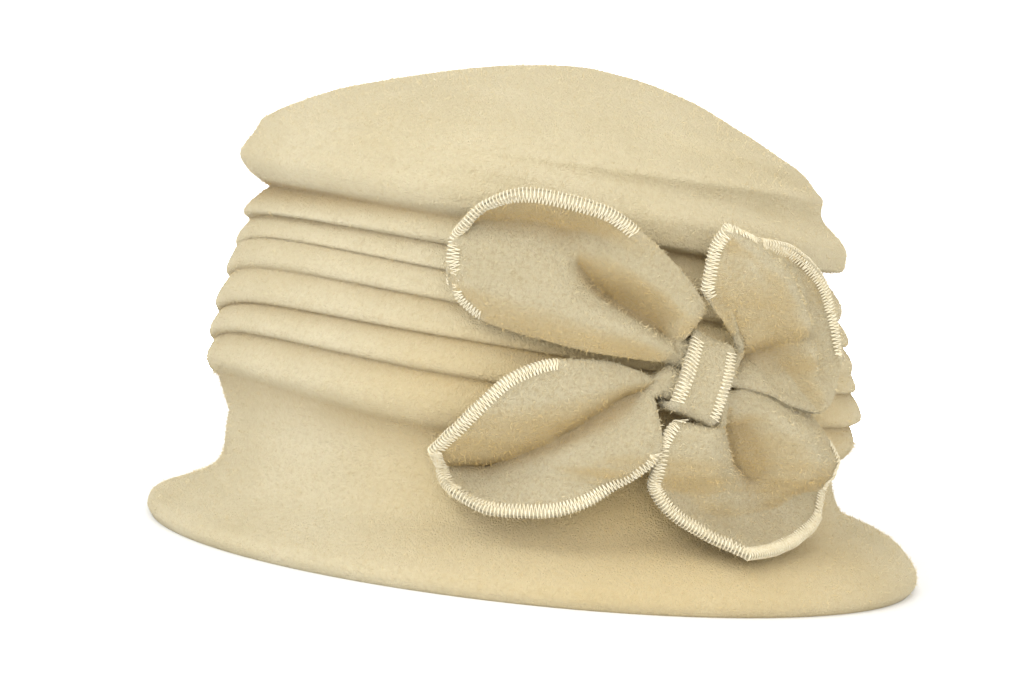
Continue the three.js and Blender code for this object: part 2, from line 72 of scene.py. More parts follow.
# The band's own shape: its rise along the middle, how round its corners are, and its turned rim, in felts.
bandShape = dict(arch=1.2, corner=0.8, cornerSteps=12, faceSteps=13, rim=1.24, rimFoot=0.2, rimFrom=0.62)
# Where the bow's painted shadow lies on the hat, in millimetres from the bow's middle.
paintedShade = dict(front=8, drop=22, wide=78, high=52, fade=1.3)
# The overlock stitches round the bow's edges, in millimetres.
serging = dict(
    pitch=1.05, width=3.3, thread=0.18, proud=0.1, slant=0.16, bead=0.6, roundness=0.45,
    archSteps=11, threadSides=5,
)
# Rows of each strip, front to back, between which an edge is folded under and carries no stitches.
plainEdges = dict(upper=dict(top=(3.6, 11.8), low=(1.9, 16.9)), lower=dict(top=(4, 15.4), low=(5, 12.8)))
# The felt's loose fibres, in metres, and how many lie on a square metre of the hat and of the bow. The
# split is the height at which the body's nap is parted into two pieces.
nap = dict(
    length=0.0011, thickness=0.0001, onHat=330000, onBow=900000, lean=1.7, shortest=0.5, longest=1.3,
    seed=7, split=0.078,
)

brimRows = dict(
    out=[0.94, 1, 0.98, 0.87, 0.73, 0.54, 0.33, 0.18, 0.09, 0.03, 0],
    up=[0, 0.08, 0.16, 0.24, 0.31, 0.385, 0.46, 0.54, 0.64, 0.81, 1],
    cock=[0, 0, 0.1, 0.6, 1, 1, 0.7, 0.3, 0, 0, 0],
    layers=[2, 2, 2, 1.5, 1, 1, 1, 1, 1, 1, 1],
)
swellRows = dict(
    up=[0, 0.02, 0.05, 0.09, 0.15, 0.26, 0.34, 0.42, 0.5, 0.58],
    swell=[0, 0.14, 0.52, 0.84, 1, 0.72, 0.44, 0.14, -0.26, -0.2],
)
# Values round the hat run front, front left, left, back left, back, back right, right, front right.
grooves = [
    dict(soft=0.9, up=[0.104, 0.058, 0.028, 0.016, 0.02, 0.026, 0.034, 0.048],
         depth=[0.6, 0.8, 0.7, 0.7, 0.6, 0.6, 0.6, 0.6]),
    dict(soft=0.85, up=[0.213, 0.196, 0.15, 0.122, 0.118, 0.124, 0.126, 0.132],
         depth=[0.85, 0.85, 0.8, 0.85, 0.75, 0.75, 0.75, 0.5]),
    dict(soft=0.7, up=[0.288, 0.282, 0.242, 0.213, 0.205, 0.209, 0.205, 0.209],
         depth=[1, 1, 1, 0.7, 0.9, 0.9, 0.8, 0.45]),
    dict(soft=0.9, up=[0.384, 0.366, 0.31, 0.267, 0.271, 0.293, 0.298, 0.302],
         depth=[0.6, 0.85, 0.6, 0.25, 0.5, 0.75, 0.75, 0.75]),
    dict(soft=0.75, up=[0.463, 0.441, 0.386, 0.328, 0.333, 0.368, 0.386, 0.394],
         depth=[0.5, 0.75, 0.75, 0.7, 0.6, 0.5, 0.5, 0.35]),
    dict(soft=0.7, up=[0.516, 0.501, 0.446, 0.394, 0.403, 0.439, 0.461, 0.472],
         depth=[0.85, 0.75, 0.75, 0.6, 0.75, 0.75, 0.65, 0.4]),
    dict(soft=0.95, up=[0.566, 0.565, 0.532, 0.503, 0.503, 0.525, 0.545, 0.55],
         depth=[1.7, 0.85, 1, 1.35, 1.25, 1.2, 1.3, 1.9]),
]
crownRows = [
    dict(up=[0.625, 0.612, 0.565, 0.54, 0.535, 0.56, 0.61, 0.63],
         inset=[0.3, 0.02, 0, 0, 0, 0, 0, 0.35]),
    dict(up=[0.675, 0.66, 0.625, 0.59, 0.585, 0.62, 0.66, 0.68],
         inset=[-0.11, -0.11, -0.11, -0.1, -0.1, -0.11, -0.11, -0.11]),
    dict(up=[0.753, 0.74, 0.72, 0.71, 0.71, 0.735, 0.758, 0.767],
         inset=[0.45, 0.55, 0.8, 1.1, 1.05, 0.65, 0.4, 0.36]),
]
domeRows = dict(
    reach=[0.962, 0.895, 0.785, 0.625, 0.435, 0.225], up=[0.13, 0.28, 0.44, 0.62, 0.8, 0.94],
)
leanRows = dict(
    up=[0, 0.08, 0.19, 0.31, 0.45, 0.69, 0.85, 0.9, 0.96, 1],
    lean=[0, 0, 0.47, 0.55, 0.79, 1, 0.85, 0.72, 0.35, 0.3],
)
# Soft folds on the crown: azimuths, heights, spread and rise, as in the solid.
folds = [
    (-118, 0.76, 30, 0.65, 0.022, 1), (-70, 0.7, 85, 0.655, 0.03, -1.1),
    (-40, 0.76, 85, 0.7, 0.034, 0.9), (-25, 0.89, 70, 0.75, 0.03, 1),
    (-20, 0.83, 55, 0.72, 0.028, -1.1), (-150, 0.86, -60, 0.79, 0.03, -0.6),
    (100, 0.72, 190, 0.8, 0.03, 0.35), (130, 0.86, 230, 0.75, 0.03, -0.3),
]
# Once round the band's cross-section: across it in half widths, and off the bow in felts.
bandSection = [
    (-1, 0.5), (-0.985, 0.85), (-0.94, 1.06), (-0.85, bandShape["rim"]), (-0.72, 1.22), (-0.55, 1.04),
    (-0.3, 1), (0, 1), (0.3, 1),
    (0.55, 1.04), (0.72, 1.22), (0.85, bandShape["rim"]), (0.94, 1.06), (0.985, 0.85), (1, 0.5),
    (0.985, 0.2), (0.94, 0.05), (0.6, 0), (0.2, 0), (-0.2, 0), (-0.6, 0), (-0.94, 0.05), (-0.985, 0.2),
]
# Sections of each lobe from the band outwards: topAt, topSide, lowAt, lowSide, nose, then five lifts.
lobes = dict(
    upperFront=dict(strip="upper", side=-1, bearing=163.6, length=63, half=27, sections=[
        (0, 0.5, 0.12, -0.2, 0.03, 0.84, 0.98, 0.42, 0.8, 0.5),
        (0.24, 0.86, 0.33, -0.32, 0, 0.98, 0.94, 0.36, 0.96, 0.5),
        (0.54, 1.04, 0.57, -0.4, 0, 1.14, 0.5, 0.7, 0.94, 0.4),
        (0.78, 0.96, 0.79, -0.44, 0.02, 1.1, 0.44, 0.74, 0.84, 0.36),
        (0.93, 0.68, 0.93, -0.31, 0.05, 0.98, 0.5, 0.74, 0.74, 0.52),
        (0.99, 0.34, 0.98, -0.1, 0.03, 0.92, 0.78, 0.8, 0.8, 0.72),
    ]),
    lowerFront=dict(strip="lower", side=-1, bearing=205.4, length=67, half=20, sections=[
        (0.05, 0.16, 0.12, -0.2, 0, 0.34, 0.42, 0.4, 0.5, 0.5),
        (0.2, 0.54, 0.18, -0.74, 0, 0.3, 0.42, 0.22, 0.84, 0.9),
        (0.37, 0.78, 0.38, -1.04, 0, 0.52, 0.5, 0.16, 0.9, 1.1),
        (0.54, 0.8, 0.52, -1.12, 0, 0.76, 0.58, 0.18, 0.84, 1.14),
        (0.68, 0.62, 0.66, -1.06, 0, 0.84, 0.58, 0.22, 0.7, 1.08),
        (0.84, 0.34, 0.83, -0.84, 0.015, 0.86, 0.56, 0.26, 0.56, 0.98),
        (0.95, 0.16, 0.94, -0.44, 0.045, 0.88, 0.66, 0.5, 0.62, 0.9),
    ]),
    upperBack=dict(strip="upper", side=1, bearing=40, length=46, half=30, sections=[
        (0.21, 0.06, -0.02, -0.17, 0.03, 0.56, 0.5, 0.48, 0.46, 0.46),
        (0.17, 0.74, 0.12, -0.41, 0.09, 0.96, 0.96, 0.58, 0.44, 0.6),
        (0.29, 0.96, 0.19, -0.62, 0, 1.12, 1.16, 0.7, 0.42, 0.7),
        (0.45, 1.12, 0.31, -0.85, 0, 1.2, 1.44, 1.04, 0.56, 0.78),
        (0.56, 0.88, 0.37, -0.84, 0.06, 1.15, 1.42, 1.36, 1.1, 0.92),
        (0.74, 0.6, 0.52, -0.78, 0.1, 1.08, 0.98, 0.92, 0.92, 0.96),
        (0.83, 0.34, 0.68, -0.62, 0.1, 1.12, 1.14, 1.14, 1.12, 1.08),
    ]),
    lowerBack=dict(strip="lower", side=1, bearing=-60, length=50, half=29, sections=[
        (0, 0.22, 0.13, -0.21, 0.06, 0.42, 0.45, 0.45, 0.44, 0.42),
        (0.1, 0.66, -0.015, -0.47, 0.125, 0.36, 0.54, 0.34, 0.72, 0.6),
        (0.29, 0.88, 0.057, -0.72, 0, 0.34, 0.62, 0.3, 0.92, 0.74),
        (0.48, 0.98, 0.22, -0.88, 0, 0.4, 0.84, 0.36, 1, 0.86),
        (0.68, 1, 0.42, -0.88, 0, 0.7, 0.92, 0.64, 0.84, 0.96),
        (0.85, 0.92, 0.6, -0.72, 0, 0.8, 0.66, 0.6, 0.66, 1.02),
        (0.94, 0.6, 0.75, -0.54, 0.045, 0.94, 0.98, 0.98, 1, 1.08),
    ]),
)

# Soft folds in the lobes: strip, spread, rise, then the fold's line as back and up from the bow's centre.
lobeFolds = [
    ("upper", 2.3, -3.8, [(-31, 26), (-24, 19), (-15, 13), (-7, 8)]),
    ("upper", 3.2, 1.6, [(-30, 32), (-20, 26), (-9, 20), (-3, 17)]),
    ("upper", 4.5, -1.6, [(-54, 36), (-42, 38), (-30, 36)]),
    ("lower", 2, -3.2, [(-66, -31), (-53, -30), (-37, -22), (-27, -14), (-18, -7), (-9, -3)]),
    ("upper", 2.4, 2, [(3, 39), (10, 35), (17, 29), (22, 22), (26, 14), (29, 7)]),
    ("upper", 2.6, -1.6, [(15, 36), (23, 32), (29, 25), (33, 18), (35, 11), (35, 4)]),
    ("upper", 2.2, -3.6, [(12, 3), (20, 8), (27, 12), (30, 14)]),
    ("lower", 1.9, -3.8, [(8, -10), (10.5, -17), (14, -23), (20, -27)]),
    ("lower", 3.5, -1.4, [(13, -12), (16, -18), (21, -23)]),
    ("lower", 3.4, 1.6, [(18, -8), (28, -14), (33, -22), (30, -31)]),
    ("lower", 4, -2.2, [(-4, -32), (6, -39), (18, -41), (28, -38)]),
]


# Curves through table values.
def hermite(a, b, slopeA, slopeB, t):
    return a + (b - a) * t * t * (3 - 2 * t) + (slopeA * (1 - t) - slopeB * t) * t * (1 - t)


def slopes(values):
    steps = np.diff(values, axis=0)
    inner = np.where(
        steps[:-1] * steps[1:] > 0,
        2 * steps[:-1] * steps[1:] / np.where(steps[:-1] + steps[1:] == 0, 1, steps[:-1] + steps[1:]),
        0,
    )
    return np.concatenate([steps[:1], inner, steps[-1:]])


def along(values, at):
    values = np.asarray(values, float)
    at = np.asarray(at, float)
    i = np.minimum(at.astype(int), len(values) - 2)
    slope = slopes(values)
    t = (at - i).reshape(at.shape + (1,) * (values.ndim - 1))
    return hermite(values[i], values[i + 1], slope[i], slope[i + 1], t)


def roundHat(row, azimuth):
    turn = (azimuth + 90) / 360 % 1 * len(row)
    i = int(turn)
    value = [row[(i + k) % len(row)] for k in (-1, 0, 1, 2)]
    return hermite(value[1], value[2], (value[2] - value[0]) / 2, (value[3] - value[1]) / 2, turn - i)


def lookUp(keys, values, x):
    if x <= keys[0]:
        return values[0]
    if x >= keys[-1]:
        return values[-1]
    i = next(k for k in range(len(keys)) if keys[k] > x) - 1
    share = (x - keys[i]) / (keys[i + 1] - keys[i])
    blend = (share + share * share * (3 - 2 * share)) / 2
    return values[i] + (values[i + 1] - values[i]) * blend


# The hat's surface, as in the solid: a point is out millimetres beyond the plain wall, at a height.
aboveFoot = hat["height"] - hat["wallFoot"]
sideRadius = hat["wallHalfWidth"] + hat["tuckSwell"]


def ovalPoint(azimuth, out, z, reach=1.0):
    lean = hat["crownLean"] * lookUp(leanRows["up"], leanRows["lean"], z / hat["height"])
    towards, turn = math.radians(hat["leanTowards"]), math.radians(azimuth)
    x = lean * math.cos(towards) + reach * (hat["wallHalfWidth"] + out) * math.cos(turn)
    y = lean * math.sin(towards) + reach * (hat["wallHalfDepth"] + out) * math.sin(turn)
    return (x, y, z)


def brimSection(azimuth):
    tilt = hat["brimCock"] * math.cos(math.radians(azimuth - hat["leanTowards"] - 180))
    out = [share * hat["brimOverhang"] for share in brimRows["out"]]
    z = [up * hat["wallFoot"] + cock * tilt for up, cock in zip(brimRows["up"], brimRows["cock"])]
    return out, z


def swellAt(z):
    return hat["tuckSwell"] * lookUp(swellRows["up"], swellRows["swell"], (z - hat["wallFoot"]) / aboveFoot)


def crownSide(azimuth):
    out = [-hat["crownEdge"] * roundHat(row["inset"], azimuth) for row in crownRows]
    z = [hat["wallFoot"] + aboveFoot * roundHat(row["up"], azimuth) for row in crownRows]
    return out, z


def foldStep(azimuth, z):
    step = 0
    for start, startUp, end, endUp, spread, rise in folds:
        share = ((azimuth - start + 540) % 360 - 180) / (end - start)
        if 0 < share < 1:
            away = ((z - hat["wallFoot"]) / aboveFoot - startUp - share * (endUp - startUp)) / spread
            step += hat["creaseStep"] * rise * math.sin(math.pi * share) * math.exp(-away * away)
    return step


def coverOut(azimuth, z):
    if z < hat["wallFoot"]:
        out, heights = brimSection(azimuth)
        return lookUp(heights, out, z)
    out, heights = crownSide(azimuth)
    if z < heights[0]:
        return max(swellAt(z), out[0] * (z - hat["wallFoot"]) / (heights[0] - hat["wallFoot"]))
    return lookUp(heights, out, z)


def tuckRun(azimuth, tuck, shares):
    low, high = grooves[tuck], grooves[tuck + 1]
    lowZ = hat["wallFoot"] + aboveFoot * roundHat(low["up"], azimuth)
    highZ = hat["wallFoot"] + aboveFoot * roundHat(high["up"], azimuth)
    lowDepth, highDepth = roundHat(low["depth"], azimuth), roundHat(high["depth"], azimuth)
    run = []
    for share in shares:
        soft = low["soft"] + (high["soft"] - low["soft"]) * share
        roll = math.sin(math.pi * min(max(share, 0), 1)) ** soft
        depth = hat["creaseDepth"] * (lowDepth + (highDepth - lowDepth) * share) * (1 - roll)
        z = lowZ + (highZ - lowZ) * share
        run.append((swellAt(z) - depth, z + hat["creaseHang"] * depth, 1.0, depth))
    return run


def smoothRun(points, steps):
    points = np.array(points, float)
    return [tuple(p) for p in along(points, np.arange((len(points) - 1) * steps + 1) / steps)]


def insetRun(run, layers):
    mean = (hat["wallHalfWidth"] + hat["wallHalfDepth"]) / 2
    inside = []
    for i, (out, z, reach, creaseShade) in enumerate(run):
        before, after = run[max(i - 1, 0)], run[min(i + 1, len(run) - 1)]
        dr = after[2] * (mean + after[0]) - before[2] * (mean + before[0])
        dz = after[1] - before[1]
        inset = hat["felt"] * layers[i] / math.hypot(dr, dz)
        if z == 0:
            inside.append((out - hat["felt"] * layers[i], z, reach, creaseShade))
            continue
        inside.append((out, z + inset * dr, (reach * (mean + out) - inset * dz) / (mean + out), creaseShade))
    return inside


def bodySection(azimuth, steps):
    out, z = brimSection(azimuth)
    brim = smoothRun([(o, h, 1, 0) for o, h in zip(out, z)], steps["brim"])
    tucks = []
    for tuck in range(len(grooves) - 1):
        tucks += tuckRun(azimuth, tuck, np.arange(steps["tuck"]) / steps["tuck"])
    tucks += tuckRun(azimuth, len(grooves) - 2, [1.0])
    out, z = crownSide(azimuth)
    crown = [tucks[-1]] + [(o, h, 1, 0) for o, h in zip(out, z)]
    for reach, up in zip(domeRows["reach"], domeRows["up"]):
        crown.append((out[-1], z[-1] + up * (hat["height"] - z[-1]), reach, 0))
    crown.append((out[-1], hat["height"], hat["tipReach"], 0))
    return brim, tucks, smoothRun(crown, steps["crown"])[1:]


def meshPiece(name, points, faces):
    mesh = bpy.data.meshes.new(name)
    mesh.from_pydata([tuple(p) for p in points], [], [tuple(f) for f in faces])
    mesh.validate()
    mesh.polygons.foreach_set("use_smooth", [True] * len(mesh.polygons))
    piece = bpy.data.objects.new(name, mesh)
    bpy.context.scene.collection.objects.link(piece)
    return piece


def addAttribute(piece, name, values, kind="FLOAT"):
    attribute = piece.data.attributes.new(name, kind, "POINT")
    attribute.data.foreach_set("value" if kind == "FLOAT" else "vector", np.ravel(values))


def buildBody():
    rings = []
    creaseShades, inner = [], []
    for k in range(hat["around"]):
        azimuth = 360 * k / hat["around"]
        brim, tucks, crown = bodySection(azimuth, outerSteps)
        inBrim, inTucks, inCrown = bodySection(azimuth, innerSteps)
        layers = along(brimRows["layers"], np.arange(len(inBrim)) / innerSteps["brim"])
        crownFoot = crown[outerSteps["crown"] - 1][1]
        inside = insetRun(inBrim, layers)
        inside += [(out - hat["felt"], z, reach, creaseShade) for out, z, reach, creaseShade in inTucks]
        inside += insetRun(inCrown, [1] * len(inCrown))
        ring = []
        for out, z, reach, creaseShade in [*crown[::-1], *tucks[::-1], *brim[::-1], *inside]:
            fade = min(max((z - crownFoot) / (hat["crownEdge"] / 2), 0), 1)
            ring.append(ovalPoint(azimuth, out + fade * foldStep(azimuth, z), z, reach))
            # The crease depth sets the painted shade in the grooves.
            creaseShades.append(min(creaseShade / hat["creaseDepth"], 1))
        inner += [0] * (len(ring) - len(inside)) + [1] * len(inside)
        rings.append(ring)
    count = len(rings[0])
    points = [p for ring in rings for p in ring]
    faces = []
    for k in range(hat["around"]):
        a, b = k * count, (k + 1) % hat["around"] * count
        faces += [(a + i, a + i + 1, b + i + 1, b + i) for i in range(count - 1)]
    top = len(points)
    for z, row in ((hat["height"], 0), (hat["height"] - hat["felt"], count - 1)):
        points.append(ovalPoint(0, 0, z, 0))
        creaseShades.append(0)
        inner.append(1 if row else 0)
        for k in range(hat["around"]):
            a, b = k * count + row, (k + 1) % hat["around"] * count + row
            faces.append((top, a, b) if row == 0 else (top + 1, b, a))
    piece = meshPiece("felt_body", np.array(points) * mm, faces)
    addAttribute(piece, "creaseShade", creaseShades)
    addAttribute(piece, "inner", inner)
    # Painted shadow of the bow on the hat: strongest just below the bow, fading further off, and only on the
    # outer face.
    x, y, z = np.array(points).T
    back = np.radians(np.degrees(np.arctan2(y, x)) - bow["azimuth"]) * sideRadius
    aside, beneath = back + paintedShade["front"], z - bow["height"] + paintedShade["drop"]
    nearBow = np.hypot(aside / paintedShade["wide"], beneath / paintedShade["high"])
    addAttribute(piece, "paintedShade", np.clip(paintedShade["fade"] - nearBow, 0, 1) * (1 - np.array(inner)))
    return piece


# The bow lies over the hat's side, in its own measures: back along the side, up, and off the surface.
tilt = math.radians(bow["bandTilt"])
acrossBand = np.array([math.cos(tilt), -math.sin(tilt)])
alongBand = np.array([math.sin(tilt), math.cos(tilt)])
stackHeight = bow["gather"] + 2 * bow["clearance"]
waistLift = bow["seat"] + bow["felt"] + stackHeight / 2


def bowPoint(back, up, lift):
    azimuth = bow["azimuth"] + math.degrees(back / sideRadius)
    z = bow["height"] + up
    return np.array(ovalPoint(azimuth, coverOut(azimuth, z) + lift, z))


def waistControl(strip, at):
    near, far = bow["clearance"] / 2, bow["clearance"] / 2 + bow["waist"]
    top, low = (far, near) if strip == "upper" else (-near, -far)
    row = []
    for i, across in enumerate(np.linspace(top, low, 5)):
        back, up = acrossBand * at + alongBand * across
        thin = 0.5 if i in (0, 4) else 0.86 + 0.08 * (i % 2)
        row.append((back, up, waistLift, bow["gather"] * thin, 1))
    return row


def lobeControl(lobe):
    sign = 1 if lobe["strip"] == "upper" else -1
    root = acrossBand * lobe["side"] * bow["bandWidth"] / 2
    root = root + alongBand * sign * (bow["clearance"] + bow["waist"]) / 2
    bearing = math.radians(lobe["bearing"])
    outwards = np.array([math.cos(bearing), math.sin(bearing)])
    sideways = np.array([-outwards[1], outwards[0]]) * lobe["side"]
    rows = []
    for i, (topAt, topSide, lowAt, lowSide, nose, *lifts) in enumerate(lobe["sections"]):
        row = []
        for k, lift in enumerate(lifts):
            share = k / 4
            at = topAt + (lowAt - topAt) * share + nose * (1 - (2 * share - 1) ** 2)
            side = topSide + (lowSide - topSide) * share
            back, up = root + outwards * at * lobe["length"] + sideways * side * lobe["half"]
            thick = bow["felt"] * (bow["rootThickness"] if i == 0 else 1)
            row.append((back, up, lift * bow["lobeRise"], thick, 0))
        rows.append(row)
    return rows


def stripControl(strip):
    front, back = [lobe for lobe in lobes.values() if lobe["strip"] == strip]
    edge, clear = (bow["bandWidth"] / 2 + n * bow["clearance"] for n in (1, 4))
    waist = [waistControl(strip, at) for at in (-clear, -edge, 0, edge, clear)]
    return np.array([*lobeControl(front)[::-1], *waist, *lobeControl(back)])


def foldLift(strip, back, up):
    lift = np.zeros_like(back)
    for foldStrip, spread, rise, line in lobeFolds:
        if foldStrip == strip:
            away = np.full_like(back, np.inf)
            for (x0, y0), (x1, y1) in zip(line, line[1:]):
                runX, runY = x1 - x0, y1 - y0
                share = np.clip(((back - x0) * runX + (up - y0) * runY) / (runX ** 2 + runY ** 2), 0, 1)
                away = np.minimum(away, np.hypot(back - x0 - runX * share, up - y0 - runY * share))
            lift += rise * np.exp(-((away / spread) ** 2))
    return lift


def bunched(count):
    return (1 - np.cos(np.pi * np.arange(count + 1) / count)) / 2


# For each point of a sheet's grid, the nearest one that lies a span or more inside all four borders.
def inside(span, fromTop, fromLow, fromFront, fromBack):
    rows, columns = fromTop.shape
    firstColumn = (fromTop > span).argmax(axis=1)[:, None]
    lastColumn = columns - 1 - (fromLow > span)[:, ::-1].argmax(axis=1)[:, None]
    firstRow = (fromFront > span).argmax(axis=0)[None]
    lastRow = rows - 1 - (fromBack > span)[::-1].argmax(axis=0)[None]
    i = np.clip(np.arange(rows)[:, None], firstRow, lastRow)
    j = np.clip(np.arange(columns)[None], firstColumn, lastColumn)
    return i, j


def buildStrip(strip):
    control = stripControl(strip)
    n, m = bow["rowsAlong"], bow["columnsAcross"]
    rowAt = bunched(n) * (len(control) - 1)
    atRows = along(control, rowAt)
    grid = along(np.swapaxes(atRows, 0, 1), bunched(m) * 4).swapaxes(0, 1)
    grid[:, :, 2] += foldLift(strip, grid[:, :, 0], grid[:, :, 1]) * (1 - grid[:, :, 4]) ** 2
    middle = np.array([[bowPoint(*p[:3]) for p in row] for row in grid])
    lifted = np.array([[bowPoint(p[0], p[1], p[2] + 1) for p in row] for row in grid])
    outward = lifted - middle
    normal = np.cross(np.gradient(middle, axis=1), np.gradient(middle, axis=0))
    normal /= np.linalg.norm(normal, axis=2, keepdims=True)
    stepAcross = np.linalg.norm(np.diff(middle, axis=1), axis=2)
    stepAlong = np.linalg.norm(np.diff(middle, axis=0), axis=2)
    fromTop = np.pad(np.cumsum(stepAcross, axis=1), ((0, 0), (1, 0)))
    fromLow = fromTop[:, -1:] - fromTop
    fromFront = np.pad(np.cumsum(stepAlong, axis=0), ((1, 0), (0, 0)))
    fromBack = fromFront[-1:] - fromFront
    fromEnd = np.minimum(fromFront, fromBack)
    borders = (fromTop, fromLow, fromFront, fromBack)
    normal = normal[inside(bow["settledSpan"], *borders)]  # the corners are nearly straight
    gathered = grid[:, :, 4:5]
    normal = normal * (1 - gathered) + outward * gathered
    normal /= np.linalg.norm(normal, axis=2, keepdims=True)
    thick = grid[:, :, 3].copy()
    loose = 1 - grid[:, :, 4]
    plain = {}
    rimmed = np.clip(bow["rimFade"] - fromEnd / serging["width"], 0, 1)  # 1 under the stitches
    for edge, away in (("top", fromTop), ("low", fromLow)):
        first, last = plainEdges[strip][edge]
        plain[edge] = np.clip(np.minimum(rowAt - first, last - rowAt) * 2 + 0.5, 0, 1)  # over half a row
        folded = plain[edge][:, None]
        thick += bow["foldedEdge"] * folded * np.clip(1 - away / bow["foldedWidth"], 0, 1) * loose
        edged = np.clip(bow["rimFade"] - away / serging["width"], 0, 1)
        rimmed = np.maximum(rimmed, edged * (1 - folded) * loose)
    thick += serging["bead"] * rimmed
    fromEdge = np.minimum(np.minimum(fromTop, fromLow), fromEnd)
    rim = np.clip(fromEdge / (thick / 2), 0, 1)
    thick = thick * np.sqrt(np.clip(1 - (1 - rim) ** 2, 0.02, 1))  # a round edge, never quite sharp
    faces = [middle + normal * (side * thick[:, :, None] / 2) for side in (1, -1)]
    points = np.concatenate([face.reshape(-1, 3) for face in faces]) * mm
    size = (n + 1) * (m + 1)
    quads = []

    def number(face, i, j):
        return face * size + i * (m + 1) + j

    for i in range(n):
        for j in range(m):
            corners = [(i, j), (i, j + 1), (i + 1, j + 1), (i + 1, j)]
            quads.append([number(0, *c) for c in corners])
            quads.append([number(1, *c) for c in corners[::-1]])
    border = [(i, 0) for i in range(n)] + [(n, j) for j in range(m)]
    border += [(i, m) for i in range(n, 0, -1)] + [(0, j) for j in range(m, 0, -1)]
    for a, b in zip(border, border[1:] + border[:1]):
        quads.append([number(0, *b), number(0, *a), number(1, *a), number(1, *b)])
    piece = meshPiece(f"felt_strip_{strip}", points, quads)
    addAttribute(piece, "sewn", np.concatenate([rimmed.ravel()] * 2))
    # Painted shade: felt that lies lower than the felt a span to either side gets the darker crease colour.
    beside = bow["valleySpan"]
    padded = np.pad(grid[:, :, 2], ((0, 0), (beside, beside)), mode="edge")
    sunk = (padded[:, :-2 * beside] + padded[:, 2 * beside:]) / 2 - grid[:, :, 2]
    valleyShade = np.clip(sunk / bow["valleyDepth"], 0, 1) * (1 - rimmed)
    addAttribute(piece, "creaseShade", np.concatenate([valleyShade.ravel()] * 2))
    # Painted shade: felt that faces down gets the warmer, darker shaded colour, less of it under the
    # stitches.
    facingDown = np.clip(-bow["undersideShade"] * normal[:, :, 2], 0, 1) * (1 - 0.8 * rimmed)
    addAttribute(piece, "paintedShade", np.concatenate([facingDown.ravel()] * 2))
    footing = inside(serging["width"], *borders)
    foot, footNormal = middle[footing], normal[footing]
    bulge = middle[inside(serging["width"] / 2, *borders)] - (middle + foot) / 2
    outline = dict(place=[], foot=[], normal=[], bulge=[], bare=[])
    for i, j in border:
        outline["place"].append(middle[i, j] * mm)
        outline["foot"].append(foot[i, j] * mm)
        outline["normal"].append(normal[i, j] + footNormal[i, j])
        outline["bulge"].append([abs(bulge[i, j].dot(normal[i, j]))])
        edge = {0: "top", m: "low"}.get(j) if 0 < i < n else None
        outline["bare"].append([plain[edge][i] if edge else 0])
    area = float((stepAcross[1:] * stepAlong[:, 1:]).sum()) * mm * mm
    cut = dict(flat=(float(fromTop[:, -1].max()) * mm, float(fromFront[-1].max()) * mm), area=area)
    return piece, outline, cut


def buildBand():
    half = bow["bandWidth"] / 2
    innerHalf = bow["waist"] + bow["clearance"] * 1.5
    low, high = bow["seat"] + bow["felt"], bow["seat"] + bow["felt"] + stackHeight
    corner = bow["felt"] * bandShape["corner"]
    steps = bandShape["cornerSteps"]
    rings = []
    for at, off in bandSection:
        swell = off * bow["felt"]
        loop = []
        for quarter, (sx, sy) in enumerate(((1, 1), (-1, 1), (-1, -1), (1, -1))):
            centre = (sx * (innerHalf - corner), high - corner if sy > 0 else low + corner)
            for step in range(steps + 1):
                turn = (quarter + step / steps) * math.pi / 2
                reach = corner + swell
                loop.append((centre[0] + reach * math.cos(turn), centre[1] + reach * math.sin(turn)))
            if quarter % 2 == 0:
                for share in np.linspace(1, -1, bandShape["faceSteps"] + 1)[1:-1]:
                    arch = bandShape["arch"] * (1 - share * share) * off
                    level = high + swell + arch if quarter == 0 else low - swell
                    loop.append((share * sx * (innerHalf - corner), level))
        across = acrossBand * at * half
        rings.append([bowPoint(*(across + alongBand * length), lift) for length, lift in loop])
    count = len(rings[0])
    faces = []
    for r in range(len(rings)):
        a, b = r * count, (r + 1) % len(rings) * count
        faces += [(a + k, a + (k + 1) % count, b + (k + 1) % count, b + k) for k in range(count)]
    piece = meshPiece("felt_band", np.array([p for ring in rings for p in ring]) * mm, faces)
    rim = np.clip(6 * (np.abs([at for at, off in bandSection]) - bandShape["rimFrom"]), 0, 1)
    addAttribute(piece, "sewn", np.repeat(rim, count))
    outline = dict(place=[], foot=[], normal=[], bulge=[], bare=[])
    for side in (-1, 1):
        for share in np.linspace(-1, 1, 40):  # each long edge of the band
            spot = acrossBand * side * half - alongBand * side * share * innerHalf
            swell = bow["felt"] + bandShape["arch"] * (1 - share * share)
            level = high + bandShape["rim"] * swell - (bow["felt"] + serging["bead"]) / 2
            place, above = (np.array(bowPoint(*spot, level + n)) for n in (0, 1))
            sewnAt = spot - acrossBand * side * serging["width"]
            foot = np.array(bowPoint(*sewnAt, level - bandShape["rimFoot"] * swell))
            outline["place"].append(place * mm)
            outline["foot"].append(foot * mm)
            outline["normal"].append(above - place)
            outline["bulge"].append([0])
            outline["bare"].append([abs(share) > 0.99])
    around = [Vector(rings[7][k]) for k in range(count)]
    length = sum((b - a).length for a, b in zip(around, around[1:] + around[:1]))
    return piece, outline, dict(flat=(bow["bandWidth"] * mm, length * mm))


print("stage: meshes")
body = buildBody()
strips = {name: buildStrip(name) for name in ("upper", "lower")}
band, bandOutline, bandCut = buildBand()


